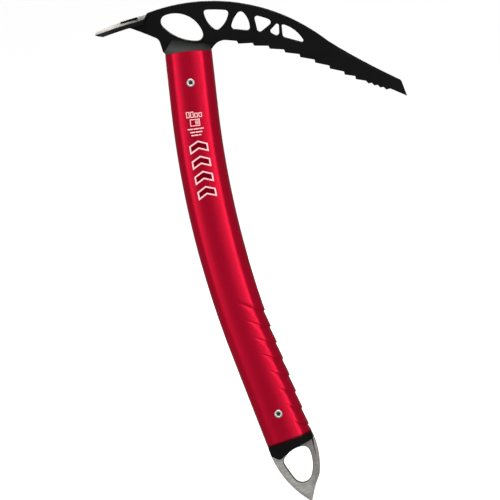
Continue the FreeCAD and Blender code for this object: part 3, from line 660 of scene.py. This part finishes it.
def make_shaft():
    """The tube as one closed skin: outer wall with pressed grips, rounded rims and bore."""
    section = oval()
    length = CENTRE.length
    rows = [(RIM_SHOULDER, RIM_SHOULDER)]
    rows += [(level, 0.0) for level in skin_levels() if level > RIM_ROUND]
    rows += [(length - RIM_SHOULDER, RIM_SHOULDER), (length, RIM_ROUND), (length, SHAFT_WALL)]
    rows += [(length * share, SHAFT_WALL) for share in BORE_ROWS]
    rows += [(0.0, SHAFT_WALL), (0.0, RIM_ROUND)]
    work = bmesh.new()
    rings = []
    for level, inset in rows:
        place = bore_point if inset >= SHAFT_WALL else skin_point
        rings.append([work.verts.new(place(level, point, inset)) for point in section])
    join_rings(work, rings, closed=True)
    red = red_anodised(make_rim_shade())
    mesh = finish_mesh("shaft", work, crease_degrees=60)
    add_piece("shaft", mesh, red, "shaft_alloy", "shaft_tube")


make_shaft()


# --- Print on the shaft --------------------------------------------------------------------

# How far the print's slabs reach into the shaft's face, and how far they stand out of it
PRINT_SINK = 0.05 * MM
PALE_LIFT = 0.035 * MM
DARK_LIFT = 0.015 * MM

# The print is laid out in millimetres across the shaft and up it from its bottom cut. A patch is cut
# into steps along its first side, and across it too where that is wider than this.
PATCH_STEPS = 8
WIDE_PATCH = 1.9
MARK_STROKE = 0.5
CHEVRON_COUNT = 4
CHEVRON_PITCH = 10.5
CHEVRON_FIRST = 175.4
CHEVRON_HALF_WIDTH = 6.4
CHEVRON_RISE = 3.0
CHEVRON_ARM = 5.7
CHEVRON_STROKE = 0.95
CHEVRON_LEAN = 0.05
# A row of small frames, the last two lower
FRAME_LEFT = -5.6
FRAME_PITCH = 2.8
FRAME_WIDTH = 2.3
FRAME_BOTTOM = 231.5
FRAME_TOPS = (235.6, 235.6, 234.6, 234.6)
# A framed mark, as left, bottom, right and top, with bars in its right half
MARK = (-3.5, 225.6, 3.2, 230.4)
BAR_COUNT = 3
BAR_LEFT = 0.1
BAR_PITCH = 0.85
BAR_WIDTH = 0.45
BAR_BOTTOM = 226.6
BAR_TOP = 229.4
# Lines of dashes: the bottom of each line, and its dashes from left to right
DASH_WIDTH = 0.75
DASH_LINES = (
    (223.3, ((-5.8, -2.2), (-1.8, 1.9), (2.3, 5.2))),
    (221.1, ((-4.3, -0.9), (-0.5, 4.0))),
    (219.0, ((-3.8, -1.6), (-1.2, 1.0), (1.4, 3.0))),
)


def face_point(across, height, lift):
    """A place over the shaft's near face."""
    origin, front, _ = CENTRE.at(height)
    y = CROWN_RADIUS - HALF_THICKNESS - math.sqrt(CROWN_RADIUS**2 - across**2)
    return origin + front * across + Vector((0, y - lift, 0))


def block(left, bottom, right, top):
    return [(left, bottom), (right, bottom), (right, top), (left, top)]


def outline(corners, stroke):
    """Patches along the inside of a closed outline, mitred at its corners."""
    inner = []
    for index, corner in enumerate(corners):
        before = Vector(corner) - Vector(corners[index - 1])
        after = Vector(corners[(index + 1) % len(corners)]) - Vector(corner)
        first = Vector((-before.y, before.x)).normalized()
        second = Vector((-after.y, after.x)).normalized()
        mitre = (first + second) / (1 + first.dot(second))
        inner.append(tuple(Vector(corner) + mitre * stroke))
    patches = []
    for index in range(len(corners)):
        after = (index + 1) % len(corners)
        patches.append([corners[index], corners[after], inner[after], inner[index]])
    return patches


def patch_cells(patch):
    """A patch cut into small cells, so that it can follow the shaft, each as four places."""

    def at(along, over):
        low = Vector(patch[0]).lerp(Vector(patch[1]), along)
        high = Vector(patch[3]).lerp(Vector(patch[2]), along)
        return low.lerp(high, over)

    wide = (Vector(patch[3]) - Vector(patch[0])).length > WIDE_PATCH
    over_steps = PATCH_STEPS if wide else 1
    cells = []
    for i in range(PATCH_STEPS):
        for j in range(over_steps):
            cell = [(i, j), (i + 1, j), (i + 1, j + 1), (i, j + 1)]
            cells.append([at(u / PATCH_STEPS, v / over_steps) for u, v in cell])
    return cells


def make_print(name, patches, lift, material):
    """Four-sided patches as thin closed slabs that follow the shaft's near face."""
    work = bmesh.new()
    corners = {}

    def vertex(across, height, depth):
        key = (round(across, 3), round(height, 3), depth)
        if key not in corners:
            corners[key] = work.verts.new(face_point(across * MM, height * MM, depth))
        return corners[key]

    cells = [cell for patch in patches for cell in patch_cells(patch)]
    for cell in cells:
        work.faces.new([vertex(*place, lift) for place in cell])
        work.faces.new([vertex(*place, -PRINT_SINK) for place in reversed(cell)])
    # Sides of cells that no other cell shares are the slabs' rims
    rims = {}
    for cell in cells:
        keys = [(round(place.x, 3), round(place.y, 3)) for place in cell]
        for start, end in zip(keys, keys[1:] + keys[:1]):
            if (end, start) in rims:
                del rims[(end, start)]
            else:
                rims[(start, end)] = True
    for start, end in rims:
        upper = [vertex(*end, lift), vertex(*start, lift)]
        work.faces.new(upper + [vertex(*start, -PRINT_SINK), vertex(*end, -PRINT_SINK)])
    add_piece(name, finish_mesh(name, work, crease_degrees=30), material, "shaft_alloy")


def chevron(bottom):
    """Corners of an upward chevron, its right arm a little higher."""
    half = CHEVRON_HALF_WIDTH
    tilt = CHEVRON_LEAN * half
    return [
        (-half, bottom - tilt),
        (0.0, bottom + CHEVRON_RISE),
        (half, bottom + tilt),
        (half, bottom + tilt + CHEVRON_ARM),
        (0.0, bottom + CHEVRON_RISE + CHEVRON_ARM),
        (-half, bottom - tilt + CHEVRON_ARM),
    ]


def print_on_shaft():
    """Outlined and filled chevrons, small frames, a framed mark and dashes."""
    pale = []
    dark = []
    for index in range(CHEVRON_COUNT):
        corners = chevron(CHEVRON_FIRST + index * CHEVRON_PITCH)
        pale += outline(corners, CHEVRON_STROKE)
        dark.append([corners[0], corners[1], corners[4], corners[5]])
        dark.append([corners[1], corners[2], corners[3], corners[4]])
    for index, top in enumerate(FRAME_TOPS):
        left = FRAME_LEFT + index * FRAME_PITCH
        pale += outline(block(left, FRAME_BOTTOM, left + FRAME_WIDTH, top), MARK_STROKE)
    pale += outline(block(*MARK), MARK_STROKE)
    for bar in range(BAR_COUNT):
        left = BAR_LEFT + bar * BAR_PITCH
        pale.append(block(left, BAR_BOTTOM, left + BAR_WIDTH, BAR_TOP))
    for bottom, dashes in DASH_LINES:
        pale += [block(left, bottom, right, bottom + DASH_WIDTH) for left, right in dashes]
    make_print("shaft_print", pale, PALE_LIFT, PALE_INK)
    make_print("shaft_print_fill", dark, DARK_LIFT, DARK_INK)


print_on_shaft()


# --- Rivets --------------------------------------------------------------------------------

HEAD_RIVET_DEPTH = 21.8 * MM
SPIKE_RIVET_HEIGHT = 20.0 * MM
RIVET_SEGMENTS = 40
# A rivet's near end, from its dimpled middle round the rolled rim to the shank: radius and height
# above the tube's face, in millimetres
RIVET_PROFILE = [
    (0.50, 0.10),
    (0.98, 0.11),
    (1.20, 0.20),
    (1.32, 0.44),
    (1.46, 0.64),
    (1.70, 0.78),
    (2.00, 0.845),
    (2.30, 0.82),
    (2.56, 0.71),
    (2.76, 0.52),
    (2.88, 0.28),
    (2.90, 0.06),
    (2.78, 0.012),
    (2.00, 0.012),
]


def make_rivet(name, node, height):
    """A tubular rivet: a rolled rim round a dimple at each end of a shank."""
    profile = [(radius, -HALF_THICKNESS / MM - rise) for radius, rise in RIVET_PROFILE]
    profile += [(radius, -y) for radius, y in reversed(profile)]
    work = bmesh.new()
    rings = []
    for radius, y in profile:
        ring = []
        for step in range(RIVET_SEGMENTS):
            angle = 2 * math.pi * step / RIVET_SEGMENTS
            place = Vector((radius * math.cos(angle), y, radius * math.sin(angle)))
            ring.append(work.verts.new(place * MM))
        rings.append(ring)
    join_rings(work, rings, closed=False)
    for ring, y in ((rings[0], profile[0][1]), (rings[-1], profile[-1][1])):
        middle = work.verts.new((0, y * MM, 0))
        for index in range(RIVET_SEGMENTS):
            work.faces.new((ring[index], ring[(index + 1) % RIVET_SEGMENTS], middle))
    mesh = finish_mesh(name, work, crease_degrees=60)
    rivet = add_piece(name, mesh, PLATED, "rivet_steel", node)
    centre, _, _ = CENTRE.at(height)
    rivet.location = centre


make_rivet("head_rivet_rolled", "head_rivet", CENTRE.length - HEAD_RIVET_DEPTH)
make_rivet("spike_rivet_rolled", "spike_rivet", SPIKE_RIVET_HEIGHT)


# --- Head, collars and spike ---------------------------------------------------------------

HEAD_ROUNDING = 0.16 * MM
ADZE_ROUNDING = 0.18 * MM
COLLAR_ROUNDING = 0.25 * MM
SPIKE_ROUNDING = 0.15 * MM
SPIKE_EYE_CENTRE = Vector((16.3 * MM, 0, -308.5 * MM))
SPIKE_EYE_REACH = 14.2 * MM
SPIKE_EYE_ROUNDING = 0.45 * MM
# The spike's outer rim is ground this far in over its faces and this deep, up to just below the tube
GROUND_WIDTH = 1.8 * MM
GROUND_DEPTH = 0.6 * MM
GROUND_BELOW_TUBE = 0.6 * MM
# The point's small rounding, and how far up from it the edges are made straight
POINT_ROUNDING = 0.6 * MM
POINT_STRAIGHT = 5.6 * MM
# An edge that goes through the plate is longer than this
THROUGH_PLATE = 1.0 * MM
# The y of a face's normal, either way: at least this on the spike's flats, and at most this on its walls
FLAT_NORMAL_Y = 0.97
WALL_NORMAL_Y = 0.5

softened_node(
    "head_plate", "head_plate_coated", BLACK_COAT, "coated_steel",
    width=HEAD_ROUNDING, degrees=20.0,
)
softened_node(
    "adze", "adze_coated", ADZE_COAT, "coated_steel",
    width=ADZE_ROUNDING, degrees=8.0,
)
softened_node(
    "head_collar", "head_collar_moulding", HEAD_PLASTIC, "head_collar_plastic",
    width=COLLAR_ROUNDING, degrees=40.0,
)
softened_node(
    "spike_collar", "spike_collar_moulding", SPIKE_PLASTIC, "spike_collar_plastic",
    width=COLLAR_ROUNDING, degrees=40.0,
)


def faces_eye(centre, normal):
    """Whether a face belongs to the wall or the rounded rim of the spike's eye."""
    inward = SPIKE_EYE_CENTRE - centre
    inward.y = 0
    close = inward.length < SPIKE_EYE_REACH
    return abs(normal.y) < FLAT_NORMAL_Y and close and normal.dot(inward) > 0


def on_eye(edge):
    return any(faces_eye(face.calc_center_median(), face.normal) for face in edge.link_faces)


def sharpen_point(work):
    """One corner on each face at the spike's point, and no edges through the plate just above it."""
    for side in (-1, 1):
        face = [vert for vert in work.verts if vert.co.y * side > 0]
        corner = min(face, key=lambda vert: vert.co.z)
        near = [vert for vert in face if (vert.co - corner.co).length < POINT_ROUNDING]
        bmesh.ops.pointmerge(work, verts=near, merge_co=corner.co.copy())
    lowest = min(work.verts, key=lambda vert: vert.co.z).co
    point = Vector((lowest.x, 0, lowest.z))

    def near_point(edge):
        first, second = edge.verts
        place = Vector((first.co.x, 0, first.co.z))
        goes_through = abs(first.co.y - second.co.y) > THROUGH_PLATE
        return goes_through and POINT_ROUNDING < (place - point).length < POINT_STRAIGHT

    spare = [edge for edge in work.edges if near_point(edge)]
    bmesh.ops.dissolve_edges(work, edges=spare, use_verts=True)


def tube_cut_height(x):
    """The height of the tube's slanting bottom cut."""
    origin, front, _ = CENTRE.at(0.0)
    return origin.z + front.z * (x - origin.x) / front.x


def on_outer_rim(edge):
    """Whether an edge runs round the spike's outside, below the tube."""
    sides = [face for face in edge.link_faces if abs(face.normal.y) < WALL_NORMAL_Y]
    if len(sides) != 1 or len(edge.link_faces) != 2:
        return False
    middle = (edge.verts[0].co + edge.verts[1].co) / 2
    outward = middle - SPIKE_EYE_CENTRE
    outward.y = 0
    top = max(vert.co.z for vert in edge.verts)
    return sides[0].normal.dot(outward) > 0 and top < tube_cut_height(middle.x) - GROUND_BELOW_TUBE


def grind_rim(work):
    """A flat chamfer, wider than it is deep: one of equal sides, cut while the plate is stretched."""
    stretch = GROUND_WIDTH / GROUND_DEPTH
    for vert in work.verts:
        vert.co.y *= stretch
    rim = [edge for edge in work.edges if on_outer_rim(edge)]
    bmesh.ops.bevel(
        work, geom=rim, offset=GROUND_WIDTH, offset_type="OFFSET", segments=1,
        affect="EDGES", clamp_overlap=False,
    )
    for vert in work.verts:
        vert.co.y /= stretch


def make_spike():
    """The spike's plate with its outer rim ground down on both faces, and a dark cut eye."""
    work = node_mesh("spike")
    sharpen_point(work)
    grind_rim(work)
    soften(work, SPIKE_EYE_ROUNDING, degrees=60.0, chosen=on_eye)
    soften(work, SPIKE_ROUNDING, degrees=30.0, chosen=lambda edge: not on_eye(edge))
    mesh = finish_mesh("spike_plate", work, crease_degrees=14)
    spike = add_piece("spike_plate", mesh, STAINLESS, "spike_steel", "spike")
    mesh.materials.append(CUT_STAINLESS)
    for face in mesh.polygons:
        if faces_eye(face.center, face.normal):
            face.material_index = 1
    keep_flat(spike)


make_spike()

CARRIED_OVER = {
    "head_packer_front": PACKER_PLASTIC,
    "head_packer_back": PACKER_PLASTIC,
    "spike_packer_front": PACKER_PLASTIC,
    "spike_packer_back": PACKER_PLASTIC,
    "adze_weld_front": BEAD,
    "adze_weld_back": BEAD,
}
for node, material in CARRIED_OVER.items():
    nodes[node].data.materials.clear()
    nodes[node].data.materials.append(material)


# --- Studio --------------------------------------------------------------------------------

FLOOR_RADIUS = 60.0
FLOOR_GAP = 0.2 * MM
ROOM_LIGHT = 1.0
FRONT_REFLECTION = 0.22
BACK_REFLECTION = 0.16
# The front's reflection turns into the back's while a direction's y goes from minus this to this
REFLECTION_BLEND = 0.35
WHITE = (1.0, 1.0, 1.0)
WARM_WHITE = (1.0, 0.96, 0.89)


def make_floor():
    """A wide pale disc just below the spike's point."""
    work = bmesh.new()
    bmesh.ops.create_circle(work, cap_ends=True, radius=FLOOR_RADIUS, segments=96)
    mesh = bpy.data.meshes.new("floor")
    work.to_mesh(mesh)
    work.free()
    floor = bpy.data.objects.new("floor", mesh)
    floor.location = (0, 0, cad_box[0].z - FLOOR_GAP)
    scene.collection.objects.link(floor)
    finish = Finish("pale_floor").set(Metallic=0.0, Roughness=0.9)
    finish.set(Base_Color=(*FLOOR_WHITE, 1.0), Specular_IOR_Level=0.0)
    mesh.materials.append(finish.material)
    floor.visible_glossy = False


def make_lamp(name, azimuth, elevation, distance, size, watts, colour=WHITE):
    """A soft box that faces the axe."""
    towards = direction(azimuth, elevation)
    data = bpy.data.lights.new(name, "AREA")
    data.shape = "RECTANGLE"
    data.size, data.size_y = size
    data.energy = watts
    data.color = colour
    lamp = bpy.data.objects.new(name, data)
    lamp.location = TARGET + towards * distance
    lamp.rotation_mode = "QUATERNION"
    lamp.rotation_quaternion = (-towards).to_track_quat("-Z", "Y")
    lamp.visible_camera = False
    scene.collection.objects.link(lamp)


def make_world():
    """A white room that is much dimmer in reflections, and dimmest behind the axe."""
    world = bpy.data.worlds.new("studio")
    world.use_nodes = True
    tree = world.node_tree
    place = tree.nodes.new("ShaderNodeTexCoord")
    axes = tree.nodes.new("ShaderNodeSeparateXYZ")
    reflection = tree.nodes.new("ShaderNodeMapRange")
    reflection.interpolation_type = "SMOOTHSTEP"
    reflection.inputs["From Min"].default_value = -REFLECTION_BLEND
    reflection.inputs["From Max"].default_value = REFLECTION_BLEND
    reflection.inputs["To Min"].default_value = FRONT_REFLECTION
    reflection.inputs["To Max"].default_value = BACK_REFLECTION
    ray = tree.nodes.new("ShaderNodeLightPath")
    strength = tree.nodes.new("ShaderNodeMix")
    strength.inputs["A"].default_value = ROOM_LIGHT
    background = tree.nodes["Background"]
    background.inputs["Color"].default_value = (*WHITE, 1.0)
    tree.links.new(place.outputs["Generated"], axes.inputs["Vector"])
    tree.links.new(axes.outputs["Y"], reflection.inputs["Value"])
    tree.links.new(ray.outputs["Is Glossy Ray"], strength.inputs["Factor"])
    tree.links.new(reflection.outputs["Result"], strength.inputs["B"])
    tree.links.new(strength.outputs["Result"], background.inputs["Strength"])
    scene.world = world


make_floor()
make_world()
make_lamp("left_box", azimuth=-41, elevation=9.5, distance=1.6, size=(0.6, 1.1), watts=4.0)
make_lamp("right_strip", azimuth=28, elevation=6, distance=1.8, size=(0.19, 1.3), watts=5.1)
make_lamp("right_fill", azimuth=15, elevation=4, distance=1.8, size=(0.5, 1.8), watts=2.2)
make_lamp("top_box", azimuth=10, elevation=75, distance=1.6, size=(1.6, 1.6), watts=22)
make_lamp(
    "back_card", azimuth=191, elevation=10, distance=1.5, size=(0.9, 0.5), watts=4.4, colour=WARM_WHITE
)
scene.view_settings.view_transform = "Standard"
